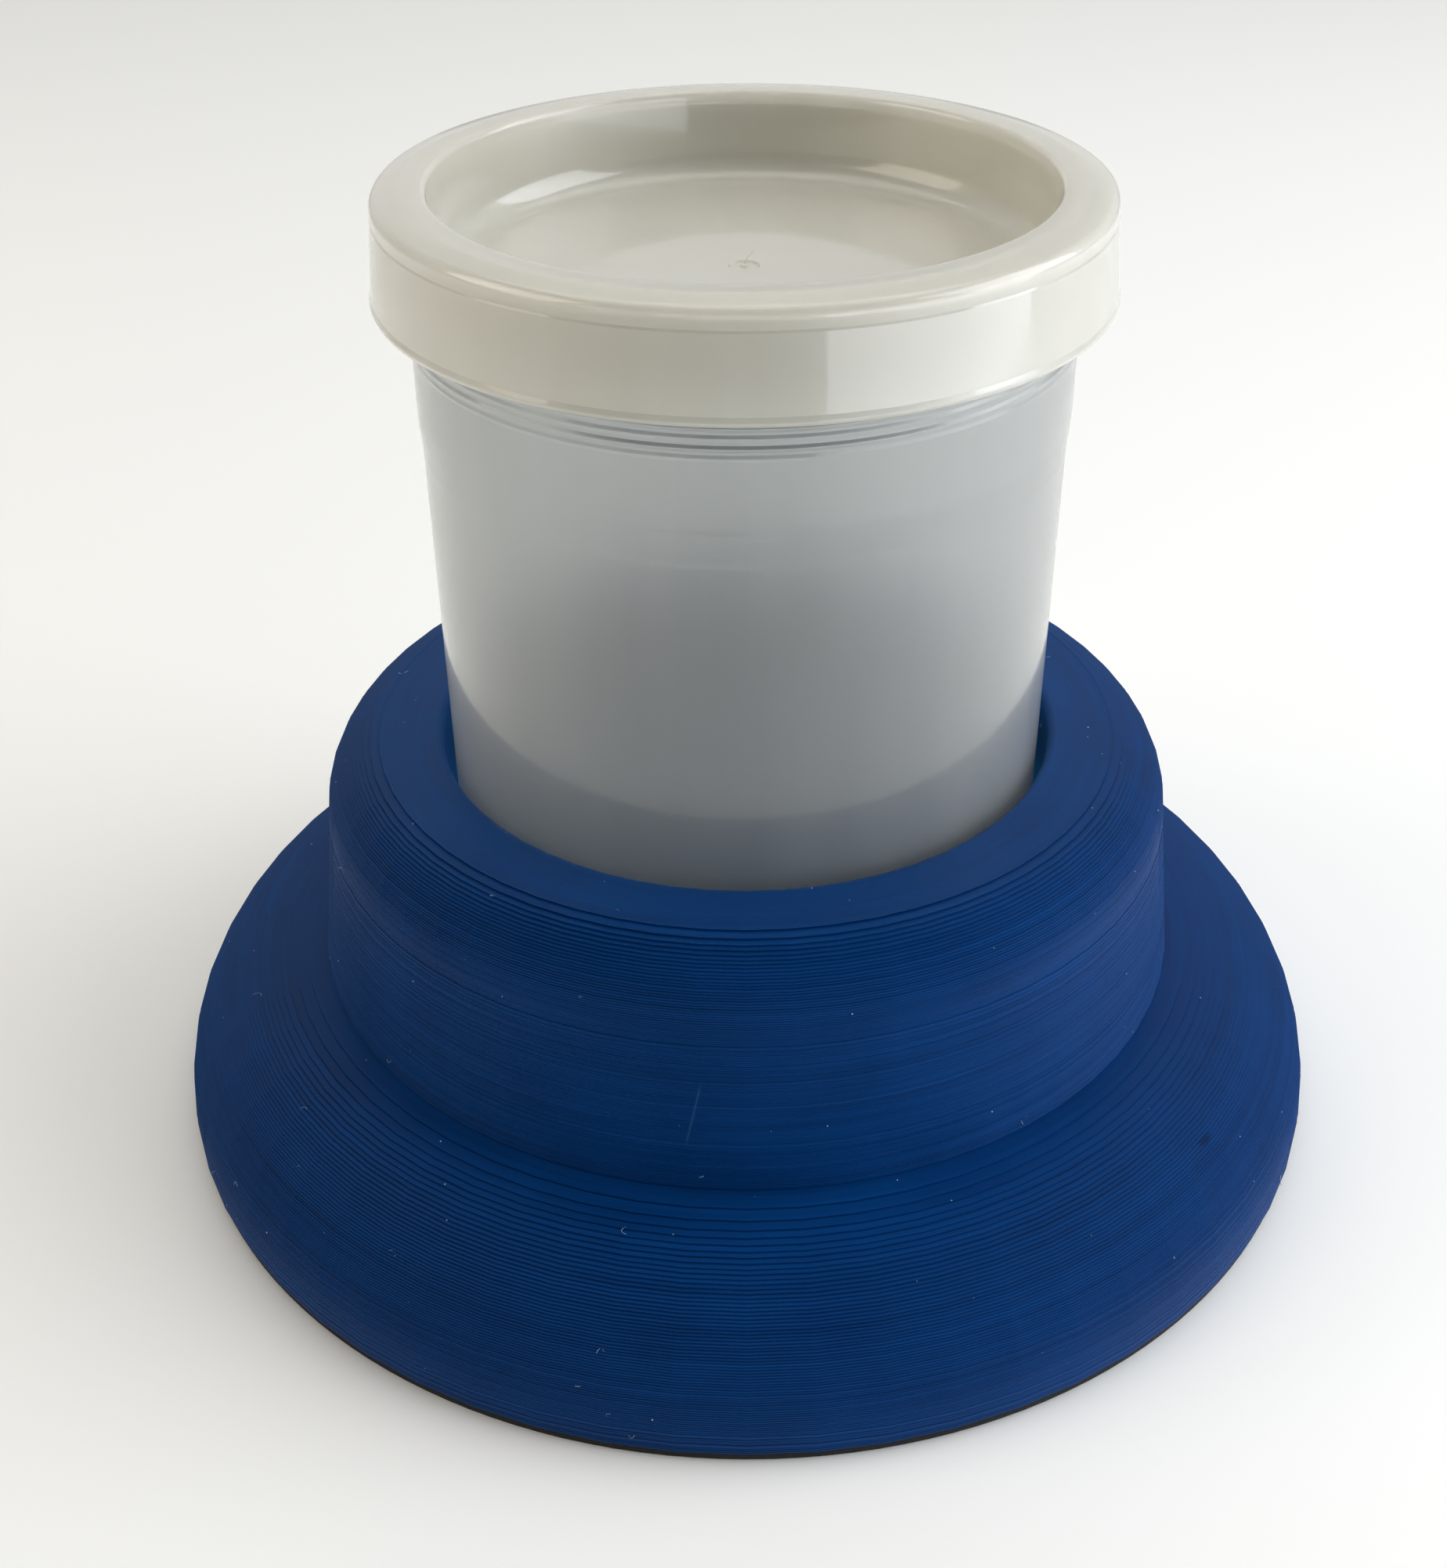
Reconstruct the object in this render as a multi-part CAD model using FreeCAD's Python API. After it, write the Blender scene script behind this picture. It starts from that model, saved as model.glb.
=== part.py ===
import FreeCAD, Part
import math
import os

# A paw washer cup: a moulded tub with a push-on lid that stands in the blind
# bore of a wide printed stand on a thin rubber pad.
# Everything is turned about one vertical axis. Origin: centre of the pad's
# underside, +Z up. Sizes in millimetres; "z" is a height above the floor.

# --- driving dimensions -------------------------------------------------

base_radius = 87.5          # widest part of the stand
total_height = 138.9        # floor to the top of the lid

pad_thickness = 1.5
pad_inset = 0.4             # pad edge behind the stand's edge

skirt_foot_height = 1.5     # straight edge below the skirt's curve
skirt_top_z = 25.3          # flat ledge where the collar rises
collar_bottom_radius = 64.6
collar_top_radius = 61.9    # wall radius where the rounding starts
collar_top_z = 59.5
collar_round_width = 9.5    # rounding of the collar's outer top edge
collar_round_height = 11.0

bore_radius = 44.3
bore_lip_round = 1.2
bore_floor_z = 6.0

cup_wall = 1.2
cup_foot_radius = 42.3      # outer radius just above the bottom corner
cup_body_radius = 43.3      # outer radius just under the shoulder
cup_band_radius = 43.65     # outer radius of the band above the shoulder
cup_shoulder_z = 106.5
cup_shoulder_height = 2.5
cup_corner_round = 3.5      # outer round where the wall meets the foot
cup_inner_round = 2.9
cup_base_recess = 1.0       # bottom panel stands on a foot ring
cup_foot_ring_width = 4.0
cup_rim_radius = 45.6
cup_rim_height = 2.6
cup_rim_bulge = 0.5         # how far the rim's outer face is rounded out
cup_bead_z = 119.8          # stiffening bead just under the lid
cup_bead_height = 1.6
cup_bead_depth = 0.35

lid_wall = 1.2
lid_crown_radius = 47.4     # skirt radius just under the crown
lid_lip_radius = 48.3       # skirt radius at its lower lip
lid_lip_z = 124.9
lid_lip_bead = 0.7          # radius of the rounded lower lip
lid_crown_round = 2.0
lid_crown_fall = 0.7        # the crown slopes down this much towards its edge
lid_well_top_radius = 40.3
lid_well_bottom_radius = 39.0
lid_well_edge_round = 0.8
lid_well_corner_round = 4.0
lid_floor_z = 127.1         # upper face of the recessed centre
gate_dish_radius = 2.1
gate_dish_depth = 0.3
gate_nub_radius = 0.5
gate_nub_height = 0.35

seat_gap = 0.1              # air left where two loose parts rest on each other
curve_steps = 24            # points that each quarter ellipse is drawn through

# --- outline helper -------------------------------------------------------


class Outline:
    # a closed half section in the XZ plane, drawn point by point as (radius, z)
    def __init__(self, radius, z):
        self.start = FreeCAD.Vector(radius, 0, z)
        self.here = self.start
        self.edges = []

    def line_to(self, radius, z):
        there = FreeCAD.Vector(radius, 0, z)
        self.edges.append(Part.LineSegment(self.here, there).toShape())
        self.here = there

    def arc_to(self, radius, z, bulge):
        # bulge: the arc's height over its chord, positive to the left of travel
        there = FreeCAD.Vector(radius, 0, z)
        chord = there.sub(self.here)
        left = FreeCAD.Vector(-chord.z, 0, chord.x).normalize()
        middle = self.here.add(chord.multiply(0.5)).add(left.multiply(bulge))
        self.edges.append(Part.Arc(self.here, middle, there).toShape())
        self.here = there

    def quarter_to(self, radius, z, convex=True):
        # quarter circle between a run along the radius and a run along z
        size = math.hypot(radius - self.here.x, z - self.here.z) / math.sqrt(2)
        height = size * (1 - math.sqrt(0.5))
        self.arc_to(radius, z, -height if convex else height)

    def ellipse_to(self, radius, z):
        # quarter ellipse that leaves along z and arrives along the radius
        centre = FreeCAD.Vector(radius, 0, self.here.z)
        wide = abs(self.here.x - radius)
        tall = abs(z - self.here.z)
        points = []
        for i in range(curve_steps + 1):
            angle = math.pi / 2 * i / curve_steps
            points.append(centre.add(FreeCAD.Vector(wide * math.cos(angle), 0, tall * math.sin(angle))))
        curve = Part.BSplineCurve()
        curve.interpolate(points, InitialTangent=FreeCAD.Vector(0, 0, tall),
                          FinalTangent=FreeCAD.Vector(-wide, 0, 0))
        self.edges.append(curve.toShape())
        self.here = points[-1]

    def turned(self):
        # close the section and turn it once round the Z axis
        self.line_to(self.start.x, self.start.z)
        face = Part.Face(Part.Wire(self.edges))
        solid = face.revolve(FreeCAD.Vector(0, 0, 0), FreeCAD.Vector(0, 0, 1), 360)
        return solid if solid.Volume > 0 else solid.reversed()


# --- the parts --------------------------------------------------------------


def make_anti_slip_pad():
    return Part.makeCylinder(base_radius - pad_inset, pad_thickness)


def make_stand():
    # one print: skirt, collar and blind bore
    section = Outline(0, pad_thickness)
    section.line_to(base_radius, pad_thickness)
    section.line_to(base_radius, pad_thickness + skirt_foot_height)
    section.ellipse_to(collar_bottom_radius, skirt_top_z)
    section.line_to(collar_top_radius, collar_top_z - collar_round_height)
    section.ellipse_to(collar_top_radius - collar_round_width, collar_top_z)
    section.line_to(bore_radius + bore_lip_round, collar_top_z)
    section.quarter_to(bore_radius, collar_top_z - bore_lip_round)
    section.line_to(bore_radius, bore_floor_z)
    section.line_to(0, bore_floor_z)
    return section.turned()


def cup_radius(z):
    # outer radius of the tub's drafted wall at a height
    share = (z - bore_floor_z) / (cup_shoulder_z - bore_floor_z)
    return cup_foot_radius + (cup_body_radius - cup_foot_radius) * share


def make_cup():
    bottom = bore_floor_z + seat_gap
    rim_top = total_height - lid_crown_fall - lid_wall - seat_gap
    rim_bottom = rim_top - cup_rim_height
    shoulder_top = cup_shoulder_z + cup_shoulder_height
    foot_inner = cup_foot_radius - cup_corner_round - cup_foot_ring_width
    panel_top = bottom + cup_base_recess + cup_wall
    bead_middle = cup_bead_z + cup_bead_height / 2
    section = Outline(0, bottom + cup_base_recess)
    section.line_to(foot_inner, bottom + cup_base_recess)
    section.line_to(foot_inner + cup_base_recess, bottom)
    section.line_to(cup_radius(bottom) - cup_corner_round, bottom)
    section.quarter_to(cup_radius(bottom), bottom + cup_corner_round)
    section.line_to(cup_body_radius, cup_shoulder_z)
    section.line_to(cup_band_radius, shoulder_top)
    section.line_to(cup_band_radius, cup_bead_z)
    section.line_to(cup_band_radius + cup_bead_depth, bead_middle)
    section.line_to(cup_band_radius, cup_bead_z + cup_bead_height)
    section.line_to(cup_band_radius, rim_bottom)
    section.line_to(cup_rim_radius, rim_bottom)
    section.arc_to(cup_rim_radius, rim_top, -cup_rim_bulge)
    section.line_to(cup_band_radius - cup_wall, rim_top)
    section.line_to(cup_band_radius - cup_wall, shoulder_top)
    section.line_to(cup_body_radius - cup_wall, cup_shoulder_z)
    section.line_to(cup_radius(panel_top) - cup_wall, panel_top + cup_inner_round)
    section.quarter_to(cup_radius(panel_top) - cup_wall - cup_inner_round, panel_top)
    section.line_to(0, panel_top)
    return section.turned()


def make_lid():
    crown_edge_z = total_height - lid_crown_fall
    crown_middle = (lid_well_top_radius + lid_crown_radius) / 2
    under_crown_z = crown_edge_z - lid_wall
    lip_top_z = lid_lip_z + 2 * lid_lip_bead
    corner_outer_round = lid_well_corner_round + lid_wall
    section = Outline(0, lid_floor_z - lid_wall)
    section.line_to(lid_well_bottom_radius + lid_wall - corner_outer_round, lid_floor_z - lid_wall)
    section.quarter_to(lid_well_bottom_radius + lid_wall, lid_floor_z - lid_wall + corner_outer_round)
    section.line_to(lid_well_top_radius + lid_wall, under_crown_z)
    section.line_to(lid_crown_radius - lid_wall, under_crown_z)
    section.line_to(lid_lip_radius - lid_wall, lid_lip_z)
    section.line_to(lid_lip_radius - lid_lip_bead / 2, lid_lip_z)
    section.arc_to(lid_lip_radius, lip_top_z, -lid_lip_bead / 2)
    section.line_to(lid_crown_radius, crown_edge_z - lid_crown_round)
    section.quarter_to(lid_crown_radius - lid_crown_round, crown_edge_z)
    section.line_to(crown_middle, total_height)
    section.line_to(lid_well_top_radius + lid_well_edge_round, total_height)
    section.quarter_to(lid_well_top_radius, total_height - lid_well_edge_round)
    section.line_to(lid_well_bottom_radius, lid_floor_z + lid_well_corner_round)
    section.quarter_to(lid_well_bottom_radius - lid_well_corner_round, lid_floor_z, convex=False)
    section.line_to(gate_dish_radius, lid_floor_z)
    section.line_to(gate_dish_radius - gate_dish_depth, lid_floor_z - gate_dish_depth)
    section.line_to(gate_nub_radius, lid_floor_z - gate_dish_depth)
    section.line_to(gate_nub_radius, lid_floor_z - gate_dish_depth + gate_nub_height)
    section.line_to(0, lid_floor_z - gate_dish_depth + gate_nub_height)
    return section.turned()


parts = {
    "anti_slip_pad": make_anti_slip_pad(),
    "stand": make_stand(),
    "cup": make_cup(),
    "lid": make_lid(),
}

os.makedirs("parts", exist_ok=True)
for name, shape in parts.items():
    shape.exportStep(f"parts/{name}.step")
    print(name, "valid", shape.isValid(), "volume", round(shape.Volume / 1000, 1), "cm3")
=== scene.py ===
import math

import bmesh
import bpy
from mathutils import Matrix, Vector


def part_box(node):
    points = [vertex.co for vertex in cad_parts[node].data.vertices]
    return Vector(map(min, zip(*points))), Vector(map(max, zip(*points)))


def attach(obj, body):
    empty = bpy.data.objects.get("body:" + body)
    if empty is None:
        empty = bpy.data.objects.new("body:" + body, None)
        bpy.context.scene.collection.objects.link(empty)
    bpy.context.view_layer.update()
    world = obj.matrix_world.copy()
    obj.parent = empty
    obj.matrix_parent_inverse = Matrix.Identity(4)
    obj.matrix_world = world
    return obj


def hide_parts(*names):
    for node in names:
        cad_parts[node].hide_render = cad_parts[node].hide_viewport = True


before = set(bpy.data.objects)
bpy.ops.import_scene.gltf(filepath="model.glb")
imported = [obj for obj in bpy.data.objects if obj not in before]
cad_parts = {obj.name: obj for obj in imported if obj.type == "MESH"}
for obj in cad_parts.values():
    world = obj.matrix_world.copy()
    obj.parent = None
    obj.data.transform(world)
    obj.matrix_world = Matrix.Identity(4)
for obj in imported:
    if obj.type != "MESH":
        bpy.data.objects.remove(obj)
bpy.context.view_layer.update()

mm = 0.001
onePoint = 1e-6                # mm, a ring smaller than this is a single point
sewingDistance = 0.002         # mm, points nearer than this are one
baseRadius = (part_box("stand")[1].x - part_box("stand")[0].x) / 2 / mm
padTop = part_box("anti_slip_pad")[1].z / mm
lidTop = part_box("lid")[1].z / mm
scene = bpy.context.scene
print("frame loaded, base radius", round(baseRadius, 2), "mm")


def srgb(hexColour):
    # sRGB hex to the linear colour that sockets take
    parts = [int(hexColour[i:i + 2], 16) / 255 for i in (1, 3, 5)]
    return (*[c / 12.92 if c <= 0.04045 else ((c + 0.055) / 1.055) ** 2.4 for c in parts], 1.0)


def addNode(tree, kind, inputs=None, **settings):
    # one node with its settings; an input takes a value, or a socket to link from
    node = tree.nodes.new(kind)
    for name, value in settings.items():
        setattr(node, name, value)
    for key, value in (inputs or {}).items():
        if isinstance(value, bpy.types.NodeSocket):
            tree.links.new(value, node.inputs[key])
        else:
            node.inputs[key].default_value = value
    return node


def mathSteps(tree, known, steps):
    # works through a table of sums: result, operation, then terms by name or as numbers
    for name, operation, *terms in steps:
        clamped = operation.startswith("CLAMPED_")
        terms = {i: known.get(term, term) for i, term in enumerate(terms)}
        step = addNode(tree, "ShaderNodeMath", terms, operation=operation.removeprefix("CLAMPED_"))
        step.use_clamp = clamped
        known[name] = step.outputs[0]


def newMaterial(name):
    material = bpy.data.materials.new(name)
    material.use_nodes = True
    material.node_tree.nodes.clear()
    return material


def finishMaterial(material, shader):
    addNode(material.node_tree, "ShaderNodeOutputMaterial", {"Surface": shader.outputs[0]})
    return material


def placePiece(name, mesh, material, body, replaced=None):
    # links a finished mesh as one piece of the object
    piece = bpy.data.objects.new(name, mesh)
    scene.collection.objects.link(piece)
    if not mesh.materials:
        mesh.materials.append(material)
    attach(piece, body)
    if replaced:
        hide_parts(replaced)
    print(name, "built with", len(mesh.polygons), "faces")


# camera: above the lid, looking down by about a third of a right angle

view = {
    "distance": 2.9973,        # from the axis along the floor, in base radii
    "height": 2.4775,
    "pitch": 32.96,            # degrees
    "sideways": 0.60,
    "roll": -0.13,
    "lens": 47.5,
}
camera = bpy.data.objects.new("camera", bpy.data.cameras.new("camera"))
scene.collection.objects.link(camera)
camera.location = (0, -view["distance"] * baseRadius * mm, view["height"] * baseRadius * mm)
aim = Matrix.Rotation(math.radians(90 - view["pitch"]), 4, "X")
aim = aim @ Matrix.Rotation(math.radians(view["sideways"]), 4, "Y")
aim = aim @ Matrix.Rotation(math.radians(view["roll"]), 4, "Z")
camera.rotation_euler = aim.to_euler()
camera.data.lens = view["lens"]
camera.data.sensor_width = 36.0
camera.data.clip_start = 0.01
camera.data.clip_end = 20.0
scene.camera = camera
print("camera placed")


# turned shapes

def roundedSection(corners, steps=6):
    # corners: (radius, height, rounding) in mm; returns the half section as points
    section = []
    for i, (r, z, rounding) in enumerate(corners):
        here = Vector((r, z))
        if rounding <= 0 or i in (0, len(corners) - 1):
            section.append(here)
            continue
        before = Vector(corners[i - 1][:2]) - here
        after = Vector(corners[i + 1][:2]) - here
        half = before.angle(after) / 2
        longest = 0.49 * min(before.length, after.length)      # two roundings share a side
        reach = min(rounding / math.tan(half), longest)
        start = here + before.normalized() * reach
        end = here + after.normalized() * reach
        inward = (before.normalized() + after.normalized()).normalized()
        middle = here + inward * (reach / math.cos(half))
        sweep = (start - middle).angle_signed(end - middle)
        for k in range(steps + 1):
            point = start - middle
            point.rotate(Matrix.Rotation(-sweep * k / steps, 2))
            section.append(middle + point)
    return section


def turnedMesh(name, section, segments):
    # closed mesh from a half section that starts and ends on the axis
    shape = bmesh.new()
    rings = []
    for r, z in section:
        count = 1 if r < onePoint else segments
        turns = [2 * math.pi * k / segments for k in range(count)]
        places = [(r * mm * math.cos(t), r * mm * math.sin(t), z * mm) for t in turns]
        rings.append([shape.verts.new(place) for place in places])
    for low, high in zip(rings, rings[1:]):
        for k in range(segments):
            lowSide = [low[k % len(low)], low[(k + 1) % len(low)]]
            highSide = [high[(k + 1) % len(high)], high[k % len(high)]]
            shape.faces.new(list(dict.fromkeys(lowSide + highSide)))
    bmesh.ops.recalc_face_normals(shape, faces=shape.faces)
    for face in shape.faces:
        face.smooth = True
    mesh = bpy.data.meshes.new(name)
    shape.to_mesh(mesh)
    shape.free()
    return mesh


def grownMesh(name, tree, values, source=None):
    # runs a Geometry Nodes tree with the given inputs and keeps the result as a plain mesh
    holder = bpy.data.objects.new(name + "Holder", source or bpy.data.meshes.new(name + "Source"))
    scene.collection.objects.link(holder)
    modifier = holder.modifiers.new("grow", "NODES")
    modifier.node_group = tree
    for item in tree.interface.items_tree:
        if item.in_out == "INPUT" and item.name in values:
            modifier[item.identifier] = values[item.name]
    depsgraph = bpy.context.evaluated_depsgraph_get()
    mesh = bpy.data.meshes.new_from_object(holder.evaluated_get(depsgraph), depsgraph=depsgraph)
    mesh.name = name
    holder.modifiers.remove(modifier)
    bpy.data.objects.remove(holder)
    return mesh


def newTree(name, values, integers=()):
    # an empty Geometry Nodes tree whose inputs carry the names of the given values
    tree = bpy.data.node_groups.new(name, "GeometryNodeTree")
    tree.interface.new_socket("Geometry", in_out="INPUT", socket_type="NodeSocketGeometry")
    for key in values:
        kind = "NodeSocketInt" if key in integers else "NodeSocketFloat"
        tree.interface.new_socket(key, in_out="INPUT", socket_type=kind)
    tree.interface.new_socket("Geometry", in_out="OUTPUT", socket_type="NodeSocketGeometry")
    given = addNode(tree, "NodeGroupInput")
    return tree, {key: given.outputs[key] for key in ("Geometry", *values)}


# materials

meanRadius = 60.0              # mm, makes a turn about the axis into a length


def roundAbout(tree):
    # place on the piece as turn about the axis, distance from it and height, in millimetres
    place = addNode(tree, "ShaderNodeTexCoord").outputs["Object"]
    split = addNode(tree, "ShaderNodeSeparateXYZ", {0: place})
    known = {"x": split.outputs[0], "y": split.outputs[1], "z": split.outputs[2], "place": place}
    mathSteps(tree, known, [
        ("turn", "ARCTAN2", "y", "x"),
        ("radius", "MULTIPLY", "x", "x"),
        ("radius", "MULTIPLY_ADD", "y", "y", "radius"),
        ("radius", "SQRT", "radius"),
        ("radius", "DIVIDE", "radius", mm),
        ("height", "DIVIDE", "z", mm),
        ("along", "MULTIPLY", "turn", meanRadius),
    ])
    known["thread"] = addNode(tree, "ShaderNodeCombineXYZ", {
        0: known["along"], 1: known["radius"], 2: known["height"]}).outputs[0]
    return known


plaLook = {
    "deep": "#002857",
    "bright": "#023d7a",
    "scratch": "#3d6794",
    "scuff": "#0a1730",
    "roughness": (0.34, 0.52),
    "shine": 0.1,
    # painted light: an emitted blue glow on the bore's wall, which is no lamp
    "paintedBoreLight": "#0c6490",
    "paintedBoreLightStrength": 0.28,
    "boreRadius": 45.0,
    "paintedLightTop": 52.0,           # mm, the painted light fades out towards the collar's lip
    "paintedLightFade": 20.0,
    "streakScale": (1 / 40, 1.0, 1.4),     # per mm: along a thread, outward, up
    "rippleScale": (1 / 0.6, 3.0, 5.0),
    "rippleHeight": 0.02,      # mm
    "blotchSize": 12.0,        # mm
    "blotchShare": 0.5,
    "collarEdge": 66.0,        # mm from the axis; the scratch stops there
    "scratchTurn": 1.796,      # radians back from the +X side
    "scratchSlant": -0.0032,   # radians to a mm of height
    "scratchMiddle": 37.0,     # mm above the floor
    "scratchSharpness": -330.0,
    "scratchEnds": (-0.5, 2.6),            # fades out 3.2 to 5.2 mm from its middle
    "scratchStrength": 0.4,
    "scuffTurn": 0.655,        # radians back from the +X side
    "scuffHeight": 19.5,       # mm above the floor
    "scuffFlatness": 3.0,      # times as wide as it is high
    "scuffEdge": (-0.6, 1.2),
}


def printedPla(look):
    # PLA laid down in threads by a printer: satin, waxy, streaked along the threads
    material = newMaterial("fusedFilamentPla")
    tree = material.node_tree
    known = roundAbout(tree)
    streakPlace = addNode(tree, "ShaderNodeVectorMath", {
        0: known["thread"], 1: look["streakScale"]}, operation="MULTIPLY")
    streak = addNode(tree, "ShaderNodeTexNoise", {
        "Vector": streakPlace.outputs[0], "Scale": 1.0, "Detail": 3.0})
    blotch = addNode(tree, "ShaderNodeTexNoise", {
        "Vector": known["place"], "Scale": 1 / (look["blotchSize"] * mm), "Detail": 4.0})
    ripplePlace = addNode(tree, "ShaderNodeVectorMath", {
        0: known["thread"], 1: look["rippleScale"]}, operation="MULTIPLY")
    ripple = addNode(tree, "ShaderNodeTexNoise", {
        "Vector": ripplePlace.outputs[0], "Scale": 1.0, "Detail": 2.0})
    known["streak"] = streak.outputs["Fac"]
    known["blotch"] = blotch.outputs["Fac"]
    mathSteps(tree, known, [
        # a slanted scratch on the collar
        ("off", "MULTIPLY_ADD", "height", look["scratchSlant"], "turn"),
        ("off", "ADD", "off", look["scratchTurn"]),
        ("off", "ABSOLUTE", "off"),
        ("thin", "CLAMPED_MULTIPLY_ADD", "off", look["scratchSharpness"], 1.0),
        ("away", "SUBTRACT", "height", look["scratchMiddle"]),
        ("away", "ABSOLUTE", "away"),
        ("short", "CLAMPED_MULTIPLY_ADD", "away", *look["scratchEnds"]),
        ("onCollar", "LESS_THAN", "radius", look["collarEdge"]),
        ("scratch", "MULTIPLY", "thin", "short"),
        ("scratch", "MULTIPLY", "scratch", "onCollar"),
        ("scratch", "MULTIPLY", "scratch", look["scratchStrength"]),
        # a small scuff on the skirt
        ("aside", "ADD", "turn", look["scuffTurn"]),
        ("aside", "MULTIPLY", "aside", meanRadius),
        ("aside", "POWER", "aside", 2.0),
        ("upward", "SUBTRACT", "height", look["scuffHeight"]),
        ("upward", "MULTIPLY", "upward", look["scuffFlatness"]),
        ("upward", "POWER", "upward", 2.0),
        ("apart", "ADD", "aside", "upward"),
        ("scuff", "CLAMPED_MULTIPLY_ADD", "apart", *look["scuffEdge"]),
        ("scuff", "MULTIPLY", "scuff", "streak"),
        # streaks with broad blotches over them
        ("tone", "MULTIPLY_ADD", "blotch", look["blotchShare"], "streak"),
        ("tone", "SUBTRACT", "tone", look["blotchShare"] / 2),
        # painted light: the bore's wall is made to glow blue below the collar's lip, standing in for the
        # light that the cup's milky wall scatters into the bore
        ("glow", "LESS_THAN", "radius", look["boreRadius"]),
        ("lower", "SUBTRACT", look["paintedLightTop"], "height"),
        ("lower", "CLAMPED_DIVIDE", "lower", look["paintedLightFade"]),
        ("glow", "MULTIPLY", "glow", "lower"),
        ("glow", "MULTIPLY", "glow", look["paintedBoreLightStrength"]),
    ])
    plain = addNode(tree, "ShaderNodeMix", {
        0: known["tone"], 6: srgb(look["deep"]), 7: srgb(look["bright"])}, data_type="RGBA")
    scratched = addNode(tree, "ShaderNodeMix", {
        0: known["scratch"], 6: plain.outputs[2], 7: srgb(look["scratch"])}, data_type="RGBA")
    scuffed = addNode(tree, "ShaderNodeMix", {
        0: known["scuff"], 6: scratched.outputs[2], 7: srgb(look["scuff"])}, data_type="RGBA")
    roughness = addNode(tree, "ShaderNodeMapRange", {
        "Value": known["tone"], "To Min": look["roughness"][0], "To Max": look["roughness"][1]})
    bump = addNode(tree, "ShaderNodeBump", {
        "Height": ripple.outputs["Fac"], "Strength": 0.25, "Distance": look["rippleHeight"] * mm})
    # the emission is painted light on the bore's wall
    shader = addNode(tree, "ShaderNodeBsdfPrincipled", {
        "Base Color": scuffed.outputs[2],
        "Roughness": roughness.outputs[0],
        "IOR": 1.46,
        "Specular IOR Level": look["shine"],
        "Emission Color": srgb(look["paintedBoreLight"]),
        "Emission Strength": known["glow"],
        "Normal": bump.outputs[0],
    })
    return finishMaterial(material, shader)


def mouldedPolypropylene(name, look):
    # natural polypropylene from a polished mould: milky, softly see-through, with a glossy skin
    material = newMaterial(name)
    tree = material.node_tree
    known = roundAbout(tree)
    # flow marks run up the wall, 7 or 8 mm apart; the skin waves by a few hundredths of a millimetre
    flowPlace = addNode(tree, "ShaderNodeVectorMath", {
        0: known["thread"], 1: look["flowScale"]}, operation="MULTIPLY")
    flow = addNode(tree, "ShaderNodeTexNoise", {
        "Vector": flowPlace.outputs[0], "Scale": 1.0, "Detail": 3.0})
    milk = addNode(tree, "ShaderNodeMix", {
        0: flow.outputs["Fac"], 6: srgb(look["milk"]), 7: srgb(look["milkPale"])}, data_type="RGBA")
    haze = addNode(tree, "ShaderNodeMapRange", {
        "Value": flow.outputs["Fac"], "To Min": look["haze"][0], "To Max": look["haze"][1]})
    wave = addNode(tree, "ShaderNodeTexNoise", {
        "Vector": known["place"], "Scale": 1 / (look["waveSize"] * mm), "Detail": 2.0})
    bump = addNode(tree, "ShaderNodeBump", {
        "Height": wave.outputs["Fac"], "Strength": 0.3, "Distance": look["waveHeight"] * mm})
    shader = addNode(tree, "ShaderNodeBsdfPrincipled", {
        "Base Color": milk.outputs[2],
        "Roughness": haze.outputs[0],
        "IOR": 1.49,
        "Transmission Weight": look["clearness"],
        "Subsurface Weight": look["glow"],
        "Subsurface Radius": (1.0, 1.0, 1.0),
        "Subsurface Scale": look["glowDepth"] * mm,
        "Specular IOR Level": 0.25,
        "Coat Weight": look["skin"],
        "Coat Roughness": look["gloss"],
        "Coat IOR": 1.49,
        "Normal": bump.outputs[0],
    })
    # lamps shine through to what is inside
    passing = addNode(tree, "ShaderNodeBsdfTransparent", {"Color": srgb(look["letsThrough"])})
    rays = addNode(tree, "ShaderNodeLightPath")
    both = addNode(tree, "ShaderNodeMixShader", {
        0: rays.outputs["Is Shadow Ray"], 1: shader.outputs[0], 2: passing.outputs[0]})
    return finishMaterial(material, both)


def foamRubber(look):
    # closed-cell foam rubber cut from sheet: matt black, finely pitted
    material = newMaterial("closedCellFoamRubber")
    tree = material.node_tree
    place = addNode(tree, "ShaderNodeTexCoord").outputs["Object"]
    cells = addNode(tree, "ShaderNodeTexVoronoi", {"Vector": place, "Scale": 1 / (look["cellSize"] * mm)})
    # the pits are painted darker than the skin: painted shade in the hollows that the bump makes
    colour = addNode(tree, "ShaderNodeMix", {
        0: cells.outputs["Distance"], 6: srgb(look["paintedPitShade"]), 7: srgb(look["skin"])}, data_type="RGBA")
    bump = addNode(tree, "ShaderNodeBump", {
        "Height": cells.outputs["Distance"], "Strength": 0.6, "Distance": look["pitDepth"] * mm})
    shader = addNode(tree, "ShaderNodeBsdfPrincipled", {
        "Base Color": colour.outputs[2],
        "Roughness": 0.85,
        "Normal": bump.outputs[0],
    })
    return finishMaterial(material, shader)


def looseFilament():
    # hair-thin strings and crumbs of filament left by the printer: pale where they catch light
    material = newMaterial("looseFilament")
    shader = addNode(material.node_tree, "ShaderNodeBsdfPrincipled", {
        "Base Color": srgb("#8fa4bd"),
        "Roughness": 0.6,
    })
    return finishMaterial(material, shader)


# the stand: one print, laid down layer by layer

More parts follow.
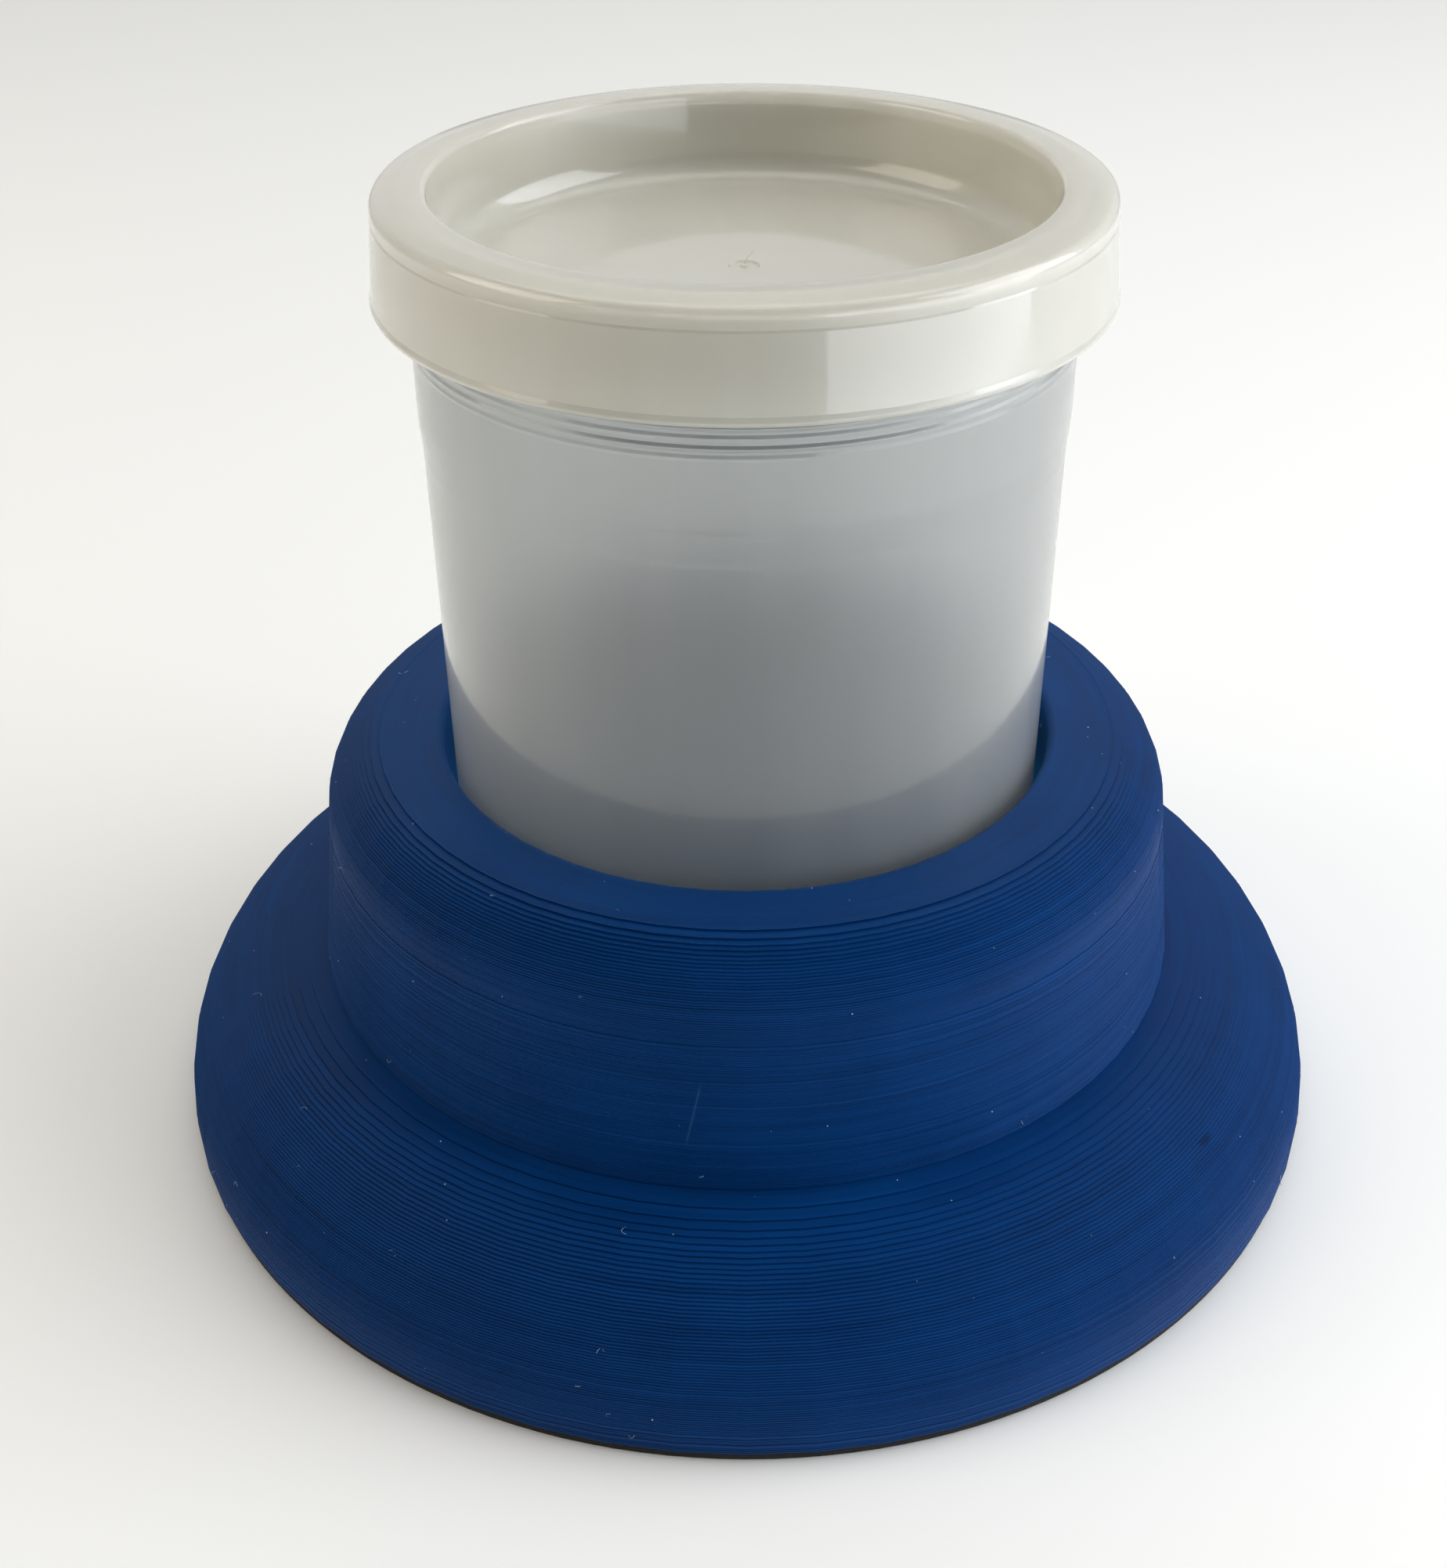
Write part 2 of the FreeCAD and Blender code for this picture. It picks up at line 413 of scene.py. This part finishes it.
stand = {
    "Layer Height": 0.33,
    "Segments": 120,
    "Pad Top": padTop,
    "Base Radius": baseRadius,
    "Foot Height": 1.5,
    "Skirt Top": 25.3,
    "Collar Bottom": 64.6,
    "Collar Top": 61.9,
    "Round Width": 9.5,
    "Round Height": 11.0,
    "Top": 59.5,
    "Bore Radius": 44.3,
    "Bore Lip": 1.2,
    "Bore Floor": 6.0,
    "Top Threads": 15,
    "Rows To Layer": 3,
    "Row Rise": 0.42,          # share of a layer from one of its rows to the next
    "Lip Rows": 4,
    "Floor Layers": 14,        # layers below the bore's floor
    "Groove": 0.05,            # how far the joint between two threads sits back
    "Unevenness": 0.05,
    "Sharp Angle": 0.6,        # radians; a steeper edge stays crisp
    "Seed": 7,
}
standCounts = ("Segments", "Top Threads", "Rows To Layer", "Lip Rows", "Floor Layers", "Seed")


def layeredPrint(material):
    # one grid: columns go round the axis, rows go up the outside, over the top and down the bore
    tree, known = newTree("layeredPrint", stand, standCounts)
    known["index"] = addNode(tree, "GeometryNodeInputIndex").outputs[0]
    mathSteps(tree, known, [
        ("layers", "SUBTRACT", "Top", "Pad Top"),
        ("layers", "DIVIDE", "layers", "Layer Height"),
        ("layers", "ROUND", "layers"),
        ("outerRows", "MULTIPLY", "layers", "Rows To Layer"),
        ("topRows", "MULTIPLY", "Top Threads", 2.0),
        ("boreRows", "SUBTRACT", "layers", "Floor Layers"),
        ("lipFrom", "ADD", "outerRows", "topRows"),
        ("boreFrom", "ADD", "lipFrom", "Lip Rows"),
        ("lastRow", "ADD", "boreFrom", "boreRows"),
        ("lastRow", "ADD", "lastRow", 1.0),
        ("rows", "ADD", "lastRow", 1.0),
        ("columns", "ADD", "Segments", 1.0),
        ("row", "FLOORED_MODULO", "index", "rows"),
        ("column", "DIVIDE", "index", "rows"),
        ("column", "FLOOR", "column"),
        # outside: a few rows to a layer, the first one in the groove
        ("outerRow", "SUBTRACT", "row", 1.0),
        ("outerLast", "SUBTRACT", "outerRows", 1.0),
        ("outerRow", "MAXIMUM", "outerRow", 0.0),
        ("outerRow", "MINIMUM", "outerRow", "outerLast"),
        ("layer", "DIVIDE", "outerRow", "Rows To Layer"),
        ("layer", "FLOOR", "layer"),
        ("part", "FLOORED_MODULO", "outerRow", "Rows To Layer"),
        ("rise", "MULTIPLY_ADD", "part", "Row Rise", "layer"),
        ("z", "MULTIPLY_ADD", "rise", "Layer Height", "Pad Top"),
        ("middle", "ADD", "layer", 0.5),
        ("middle", "MULTIPLY_ADD", "middle", "Layer Height", "Pad Top"),
        ("foot", "ADD", "Pad Top", "Foot Height"),
        ("s", "SUBTRACT", "middle", "foot"),
        ("skirtRise", "SUBTRACT", "Skirt Top", "foot"),
        ("s", "CLAMPED_DIVIDE", "s", "skirtRise"),
        ("s", "POWER", "s", 2.0),
        ("s", "SUBTRACT", 1.0, "s"),
        ("s", "SQRT", "s"),
        ("skirtWidth", "SUBTRACT", "Base Radius", "Collar Bottom"),
        ("r", "MULTIPLY_ADD", "s", "skirtWidth", "Collar Bottom"),
        ("wallTop", "SUBTRACT", "Top", "Round Height"),
        ("wallRise", "SUBTRACT", "wallTop", "Skirt Top"),
        ("w", "SUBTRACT", "middle", "Skirt Top"),
        ("w", "CLAMPED_DIVIDE", "w", "wallRise"),
        ("lean", "SUBTRACT", "Collar Top", "Collar Bottom"),
        ("r", "MULTIPLY_ADD", "w", "lean", "r"),
        ("t", "SUBTRACT", "middle", "wallTop"),
        ("t", "CLAMPED_DIVIDE", "t", "Round Height"),
        ("t", "POWER", "t", 2.0),
        ("t", "SUBTRACT", 1.0, "t"),
        ("t", "SQRT", "t"),
        ("t", "SUBTRACT", "t", 1.0),
        ("r", "MULTIPLY_ADD", "t", "Round Width", "r"),
        ("inGroove", "LESS_THAN", "part", 0.5),
        ("inGroove", "MULTIPLY", "inGroove", "Groove"),
        ("r", "SUBTRACT", "r", "inGroove"),
    ])
    # every layer lands a little differently, a few of them clearly so
    chance = addNode(tree, "FunctionNodeRandomValue", {
        2: -1.0, 3: 1.0, "ID": known["layer"], "Seed": known["Seed"]}, data_type="FLOAT")
    known["chance"] = chance.outputs[1]
    mathSteps(tree, known, [
        ("chance", "POWER", "chance", 3.0),
        ("chance", "MULTIPLY", "chance", "Unevenness"),
        ("r", "ADD", "r", "chance"),
        # top: threads laid in rings, then the rounded lip, then the bore
        ("topShare", "SUBTRACT", "row", "outerRows"),
        ("topShare", "CLAMPED_DIVIDE", "topShare", "topRows"),
        ("boreEdge", "ADD", "Bore Radius", "Bore Lip"),
        ("across", "SUBTRACT", "boreEdge", "r"),
        ("r", "MULTIPLY_ADD", "across", "topShare", "r"),
        ("onTop", "GREATER_THAN", "topShare", 0.0),
        ("odd", "FLOORED_MODULO", "row", 2.0),
        ("upTo", "SUBTRACT", "Top", "z"),
        ("z", "MULTIPLY_ADD", "upTo", "onTop", "z"),
        ("dip", "MULTIPLY", "onTop", "odd"),
        ("dip", "MULTIPLY", "dip", "Groove"),
        ("lip", "SUBTRACT", "row", "lipFrom"),
        ("lip", "CLAMPED_DIVIDE", "lip", "Lip Rows"),
        ("lip", "MULTIPLY", "lip", math.pi / 2),
        ("lipIn", "SINE", "lip"),
        ("lipDown", "COSINE", "lip"),
        ("lipDown", "SUBTRACT", "lipDown", 1.0),
        ("lipIn", "MULTIPLY", "lipIn", "Bore Lip"),
        ("r", "SUBTRACT", "r", "lipIn"),
        ("z", "MULTIPLY_ADD", "lipDown", "Bore Lip", "z"),
        ("inBore", "SUBTRACT", "row", "boreFrom"),
        ("inBore", "CLAMPED_DIVIDE", "inBore", "boreRows"),
        ("depth", "SUBTRACT", "Bore Floor", "Top"),
        ("depth", "ADD", "depth", "Bore Lip"),
        ("z", "MULTIPLY_ADD", "inBore", "depth", "z"),
        ("boreWall", "GREATER_THAN", "inBore", 0.0),
        ("onTop", "SUBTRACT", 1.0, "boreWall"),
        ("outDip", "MULTIPLY", "boreWall", "dip"),
        ("r", "ADD", "r", "outDip"),
        ("downDip", "MULTIPLY", "onTop", "dip"),
        ("z", "SUBTRACT", "z", "downDip"),
        # first and last row close the underside and the bore's floor on the axis
        ("closing", "LESS_THAN", "row", 0.5),
        ("ending", "LESS_THAN", "row", "lastRow"),
        ("closing", "SUBTRACT", "ending", "closing"),
        ("r", "MULTIPLY", "r", "closing"),
        # the model behind the print was faceted, two columns to a facet
        ("turn", "DIVIDE", "column", "Segments"),
        ("turn", "MULTIPLY", "turn", 2 * math.pi),
        ("sag", "DIVIDE", 2 * math.pi, "Segments"),
        ("sag", "COSINE", "sag"),
        ("sag", "SUBTRACT", "sag", 1.0),
        ("odd", "FLOORED_MODULO", "column", 2.0),
        ("sag", "MULTIPLY_ADD", "sag", "odd", 1.0),
        ("r", "MULTIPLY", "r", "sag"),
        ("r", "MULTIPLY", "r", mm),
        ("z", "MULTIPLY", "z", mm),
        ("x", "COSINE", "turn"),
        ("y", "SINE", "turn"),
        ("x", "MULTIPLY", "x", "r"),
        ("y", "MULTIPLY", "y", "r"),
    ])
    grid = addNode(tree, "GeometryNodeMeshGrid", {
        "Vertices X": known["columns"], "Vertices Y": known["rows"]})
    place = addNode(tree, "ShaderNodeCombineXYZ", {0: known["x"], 1: known["y"], 2: known["z"]})
    bent = addNode(tree, "GeometryNodeSetPosition", {
        "Geometry": grid.outputs["Mesh"], "Position": place.outputs[0]})
    # closes the seam and the two ends on the axis
    sewn = addNode(tree, "GeometryNodeMergeByDistance", {
        "Geometry": bent.outputs[0], "Distance": sewingDistance * mm})
    smooth = addNode(tree, "GeometryNodeSetShadeSmooth", {
        "Geometry": sewn.outputs[0], "Shade Smooth": True}, domain="FACE")
    edge = addNode(tree, "GeometryNodeInputMeshEdgeAngle")
    mathSteps(tree, known, [("sharp", "GREATER_THAN", edge.outputs[0], "Sharp Angle")])
    crisp = addNode(tree, "GeometryNodeSetShadeSmooth", {
        "Geometry": smooth.outputs[0], "Selection": known["sharp"], "Shade Smooth": False}, domain="EDGE")
    real = addNode(tree, "GeometryNodeRealizeInstances", {0: crisp.outputs[0]})
    painted = addNode(tree, "GeometryNodeSetMaterial", {"Geometry": real.outputs[0], "Material": material})
    addNode(tree, "NodeGroupOutput", {0: painted.outputs[0]})
    return tree


printedBlue = printedPla(plaLook)
standMesh = grownMesh("standPrint", layeredPrint(printedBlue), stand)
placePiece("standPrint", standMesh, printedBlue, "stand", "stand")


# strings and crumbs of filament on the print

wisps = {
    "Crumbs": 3200.0,          # to a square metre
    "Hairs": 1300.0,
    "Crumb Size": 0.11,        # mm
    "Hair Length": 1.1,        # mm
    "Hair Curve": 0.35,        # how far a hair bends up, in hair lengths
    "Hair Thickness": 0.035,
    "Smallest": 0.4,
    "Largest": 1.3,
    "Seed": 3,
}
hairTilt = 0.6                 # radians


def scatteredWisps(material):
    tree, known = newTree("scatteredWisps", wisps, ("Seed",))
    mathSteps(tree, known, [
        ("hairSeed", "ADD", "Seed", 10.0),
        ("crumbSize", "MULTIPLY", "Crumb Size", mm),
        ("hairLength", "MULTIPLY", "Hair Length", mm),
        ("hairBend", "MULTIPLY", "hairLength", "Hair Curve"),
        ("hairThickness", "MULTIPLY", "Hair Thickness", mm),
    ])
    place = addNode(tree, "GeometryNodeInputPosition").outputs[0]
    height = addNode(tree, "ShaderNodeSeparateXYZ", {0: place}).outputs[2]
    mathSteps(tree, known, [("aboveFoot", "GREATER_THAN", height, (padTop + 1) * mm)])
    crumb = addNode(tree, "GeometryNodeMeshIcoSphere", {"Radius": known["crumbSize"], "Subdivisions": 1})
    bend = addNode(tree, "ShaderNodeCombineXYZ", {0: known["hairLength"], 2: known["hairBend"]})
    tip = addNode(tree, "ShaderNodeCombineXYZ", {0: known["hairBend"], 1: known["hairLength"]})
    line = addNode(tree, "GeometryNodeCurveQuadraticBezier", {
        "Resolution": 5, "Start": (0, 0, 0), "Middle": bend.outputs[0], "End": tip.outputs[0]})
    outline = addNode(tree, "GeometryNodeCurvePrimitiveCircle", {
        "Resolution": 4, "Radius": known["hairThickness"]})
    hair = addNode(tree, "GeometryNodeCurveToMesh", {
        "Curve": line.outputs[0], "Profile Curve": outline.outputs[0], "Fill Caps": True})
    joined = addNode(tree, "GeometryNodeJoinGeometry")
    for shape, density, seed in ((crumb, "Crumbs", "Seed"), (hair, "Hairs", "hairSeed")):
        points = addNode(tree, "GeometryNodeDistributePointsOnFaces", {
            "Mesh": known["Geometry"], "Selection": known["aboveFoot"],
            "Density": known[density], "Seed": known[seed]})
        size = addNode(tree, "FunctionNodeRandomValue", {
            2: known["Smallest"], 3: known["Largest"], "Seed": known[seed]}, data_type="FLOAT")
        spin = addNode(tree, "FunctionNodeRandomValue", {
            0: (0, 0, 0), 1: (hairTilt, hairTilt, 2 * math.pi), "Seed": known["hairSeed"]},
            data_type="FLOAT_VECTOR")
        turned = addNode(tree, "FunctionNodeRotateRotation", {
            0: points.outputs["Rotation"], 1: spin.outputs[0]}, rotation_space="LOCAL")
        copies = addNode(tree, "GeometryNodeInstanceOnPoints", {
            "Points": points.outputs["Points"], "Instance": shape.outputs[0],
            "Rotation": turned.outputs[0], "Scale": size.outputs[1]})
        tree.links.new(copies.outputs[0], joined.inputs[0])
    real = addNode(tree, "GeometryNodeRealizeInstances", {0: joined.outputs[0]})
    painted = addNode(tree, "GeometryNodeSetMaterial", {"Geometry": real.outputs[0], "Material": material})
    addNode(tree, "NodeGroupOutput", {0: painted.outputs[0]})
    return tree


wispMaterial = looseFilament()
wispMesh = grownMesh("printWisps", scatteredWisps(wispMaterial), wisps, standMesh)
placePiece("printWisps", wispMesh, wispMaterial, "stand")


# the cup

cup = {
    "segments": 160,
    "wall": 1.2,
    "bottom": 6.1,
    "footRadius": 42.3,
    "bodyRadius": 43.3,
    "bandRadius": 43.65,
    "shoulder": 105.0,
    "shoulderTop": 109.5,
    "softness": 12.0,          # rounding of the shoulder
    "recess": 1.0,             # the bottom panel stands on a foot ring
    "footRing": (33.8, 34.8),
    "corner": (3.5, 2.9),      # rounding outside and inside
    "rings": ((119.2, 0.1), (120.4, 0.22), (121.7, 0.16), (122.9, 0.22)),   # height, depth
    "ringHalfWidth": 0.45,
    "ringRounding": (0.2, 0.25),
    "rimRadius": 45.6,
    "rimTop": 136.9,
    "rimHeight": 2.6,
}
cupLook = {
    "milk": "#cacdcd",
    "milkPale": "#d3d6d6",
    "haze": (0.26, 0.34),      # roughness of the milky wall
    "clearness": 0.88,
    "glow": 1.0,
    "glowDepth": 3.0,          # mm
    "gloss": 0.07,             # roughness of the polished skin over it
    "skin": 0.6,
    "letsThrough": "#f4f3ee",
    "flowScale": (1 / 8, 0.05, 1 / 60),    # per mm: around, outward, up
    "waveSize": 14.0,          # mm
    "waveHeight": 0.05,
}


def cupSection():
    wall = cup["wall"]
    bottom = cup["bottom"]
    panel = bottom + cup["recess"]
    top = cup["rimTop"]
    band = cup["bandRadius"]
    soft = cup["softness"]
    edge, crest = cup["ringRounding"]
    rings = []
    for height, depth in cup["rings"]:
        rings += [
            (band, height - cup["ringHalfWidth"], edge),
            (band + depth, height, crest),
            (band, height + cup["ringHalfWidth"], edge),
        ]
    corners = [
        (0, panel, 0),
        (cup["footRing"][0], panel, 0.3),
        (cup["footRing"][1], bottom, 0.4),
        (cup["footRadius"], bottom, cup["corner"][0]),
        (cup["bodyRadius"], cup["shoulder"], soft),
        (band, cup["shoulderTop"], soft),
        *rings,
        (band, top - cup["rimHeight"], 0.3),
        (cup["rimRadius"], top - cup["rimHeight"], 1.0),
        (cup["rimRadius"], top, 1.2),
        (band - wall, top, 0.5),
        (band - wall, cup["shoulderTop"], soft),
        (cup["bodyRadius"] - wall, cup["shoulder"], soft),
        (cup["footRadius"] - wall, panel + wall, cup["corner"][1]),
        (0, panel + wall, 0),
    ]
    return roundedSection(corners)


cupPlastic = mouldedPolypropylene("mouldedCupPolypropylene", cupLook)
cupMesh = turnedMesh("cupTub", cupSection(), cup["segments"])
placePiece("cupTub", cupMesh, cupPlastic, "cup", "cup")


# the lid

lid = {
    "segments": 160,
    "wall": 1.2,
    "crownRadius": 47.4,
    "lipRadius": 48.3,
    "lip": 124.9,
    "crownFall": 0.7,
    "crownRounding": (4.0, 2.0),           # on top and at its outer edge
    "stepDown": (2.3, 2.6),    # the fine step around the skirt, below the crown's edge
    "stepDepth": 0.05,
    "wellTop": 40.3,
    "wellBottom": 39.0,
    "wellCorner": (4.0, 5.2),  # rounding inside and underneath
    "floor": 127.1,
    "gateDish": (2.1, 1.8),    # radius at its edge and its bottom
    "gateDepth": 0.3,
}
lidLook = {
    "milk": "#dbd9cf",
    "milkPale": "#e2e0d7",
    "haze": (0.32, 0.40),
    "clearness": 0.6,
    "glow": 1.0,
    "glowDepth": 3.0,          # mm
    "gloss": 0.06,
    "skin": 1.0,
    "letsThrough": "#d8d6d0",
    "flowScale": (1 / 7, 0.05, 1 / 25),
    "waveSize": 11.0,
    "waveHeight": 0.05,
}


def lidSection():
    wall = lid["wall"]
    edge = lidTop - lid["crownFall"]
    floor = lid["floor"]
    dish = floor - lid["gateDepth"]
    corners = [
        (0, floor - wall, 0),
        (lid["wellBottom"] + wall, floor - wall, lid["wellCorner"][1]),
        (lid["wellTop"] + wall, edge - wall, 0.4),
        (lid["crownRadius"] - wall, edge - wall, 0.8),
        (lid["lipRadius"] - wall, lid["lip"], 0.2),
        (lid["lipRadius"] - 0.1, lid["lip"], 0.4),
        (lid["lipRadius"] + 0.15, lid["lip"] + 0.6, 0.4),
        (lid["lipRadius"] - 0.1, lid["lip"] + 1.3, 0.4),
        (lid["crownRadius"] + lid["stepDepth"], edge - lid["stepDown"][1], 0.2),
        (lid["crownRadius"] - lid["stepDepth"], edge - lid["stepDown"][0], 0.2),
        (lid["crownRadius"], edge, lid["crownRounding"][1]),
        ((lid["wellTop"] + lid["crownRadius"]) / 2, lidTop, lid["crownRounding"][0]),
        (lid["wellTop"], lidTop, 0.8),
        (lid["wellBottom"], floor, lid["wellCorner"][0]),
        (lid["gateDish"][0], floor, 0.1),
        (lid["gateDish"][1], dish, 0.1),
        (0.5, dish, 0.1),
        (0.4, floor + 0.1, 0.1),
        (0, floor + 0.15, 0),
    ]
    return roundedSection(corners)


lidPlastic = mouldedPolypropylene("mouldedLidPolypropylene", lidLook)
lidMesh = turnedMesh("lidCap", lidSection(), lid["segments"])
placePiece("lidCap", lidMesh, lidPlastic, "lid", "lid")


# a thin string of plastic that the mould's gate left on the nub

gateHair = {
    "points": ((0, 0, -0.05), (0.15, 0.1, 0.5), (0.5, 0.2, 1.0), (0.95, 0.3, 1.35), (1.2, 0.3, 1.9)),
    "thickness": 0.09,
    "taper": 0.8,
    "sides": 5,
}


def hairMesh(name):
    # a tapering string through the points, closed at both ends
    points = gateHair["points"]
    sides = gateHair["sides"]
    shape = bmesh.new()
    rings = []
    for i, point in enumerate(points):
        size = gateHair["thickness"] * (1 - gateHair["taper"] * i / (len(points) - 1))
        turns = [2 * math.pi * k / sides for k in range(sides)]
        place = Vector((0, 0, lid["floor"])) + Vector(point)
        around = [Vector((math.cos(t), math.sin(t), 0)) * size for t in turns]
        rings.append([shape.verts.new((place + offset) * mm) for offset in around])
    for low, high in zip(rings, rings[1:]):
        for k in range(sides):
            after = (k + 1) % sides
            shape.faces.new([low[k], low[after], high[after], high[k]])
    shape.faces.new(rings[0])
    shape.faces.new(rings[-1])
    bmesh.ops.recalc_face_normals(shape, faces=shape.faces)
    mesh = bpy.data.meshes.new(name)
    shape.to_mesh(mesh)
    shape.free()
    return mesh


placePiece("gateHair", hairMesh("gateHair"), lidPlastic, "lid")


# the pad

pad = {"segments": 160, "radius": 87.1, "rounding": 0.3}
# the pit colour is painted shade in the foam's hollows; the skin colour is the rubber's own
padLook = {"skin": "#161617", "paintedPitShade": "#060607", "cellSize": 0.8, "pitDepth": 0.1}     # mm
padSection = roundedSection([
    (0, 0, 0),
    (pad["radius"], 0, pad["rounding"]),
    (pad["radius"], padTop, pad["rounding"]),
    (0, padTop, 0),
], 3)
padMesh = turnedMesh("padSheet", padSection, pad["segments"])
placePiece("padSheet", padMesh, foamRubber(padLook), "stand", "anti_slip_pad")


# floor and light

room = {
    "floorColour": "#f4f4f2",
    "floorHalfSize": 12.0,
    "worldFront": "#404549",   # behind the viewer, the darker end of the studio
    "worldBack": "#f1f2f0",
    "worldAxis": (0.35, 0.75, -0.05),      # from the dark end to the pale one
    "worldSpan": (-0.6, 0.5),
    "worldStrength": 0.9,
    "backdrop": "#e4e5e5",
    # name: place in m, width, height, power in W, colour
    "windowLight": ((0.95, 0.0, 0.60), 0.9, 0.9, 8.6, "#f4f8ff"),
    "lowCard": ((0.40, -0.27, 0.10), 0.64, 0.20, 1.0, "#f2f7ff"),
    "roomFill": ((-1.0, -0.25, 0.6), 0.8, 0.8, 5.0, "#fff4e6"),
    "ceilingLight": ((0.0, 0.45, 1.5), 1.6, 1.2, 5.8, "#fffaf2"),
}
# seamless studio paper: pale and quite matt
floorMaterial = newMaterial("palePaper")
finishMaterial(floorMaterial, addNode(floorMaterial.node_tree, "ShaderNodeBsdfPrincipled", {
    "Base Color": srgb(room["floorColour"]), "Roughness": 0.9}))
half = room["floorHalfSize"]
floorMesh = bpy.data.meshes.new("floor")
floorCorners = [(-half, -half, 0), (half, -half, 0), (half, half, 0), (-half, half, 0)]
floorMesh.from_pydata(floorCorners, [], [(0, 1, 2, 3)])
floorMesh.materials.append(floorMaterial)
floor = bpy.data.objects.new("floor", floorMesh)
scene.collection.objects.link(floor)

world = bpy.data.worlds.new("studio")
world.use_nodes = True
sky = world.node_tree
sky.nodes.clear()
direction = addNode(sky, "ShaderNodeTexCoord").outputs["Generated"]
towardsBack = addNode(sky, "ShaderNodeVectorMath", {
    0: direction, 1: room["worldAxis"]}, operation="DOT_PRODUCT")
share = addNode(sky, "ShaderNodeMapRange", {
    "Value": towardsBack.outputs[1], "From Min": room["worldSpan"][0], "From Max": room["worldSpan"][1]})
skyColour = addNode(sky, "ShaderNodeMix", {
    0: share.outputs[0], 6: srgb(room["worldFront"]), 7: srgb(room["worldBack"])}, data_type="RGBA")
lighting = addNode(sky, "ShaderNodeBackground", {0: skyColour.outputs[2], 1: room["worldStrength"]})
backdrop = addNode(sky, "ShaderNodeBackground", {0: srgb(room["backdrop"]), 1: 1.0})
rays = addNode(sky, "ShaderNodeLightPath")
shown = addNode(sky, "ShaderNodeMixShader", {
    0: rays.outputs["Is Camera Ray"], 1: lighting.outputs[0], 2: backdrop.outputs[0]})
addNode(sky, "ShaderNodeOutputWorld", {0: shown.outputs[0]})
scene.world = world

for lightName in ("windowLight", "lowCard", "roomFill", "ceilingLight"):
    place, width, height, power, colour = room[lightName]
    lamp = bpy.data.lights.new(lightName, "AREA")
    lamp.shape = "RECTANGLE"
    lamp.size = width
    lamp.size_y = height
    lamp.energy = power
    lamp.color = srgb(colour)[:3]
    holder = bpy.data.objects.new(lightName, lamp)
    scene.collection.objects.link(holder)
    holder.location = place
    target = Vector((0, 0, min(place[2], lidTop * mm / 2)))
    holder.rotation_euler = (Vector(place) - target).to_track_quat("Z", "Y").to_euler()
    holder.visible_camera = False
scene.view_settings.view_transform = "Standard"
print("floor and light set")
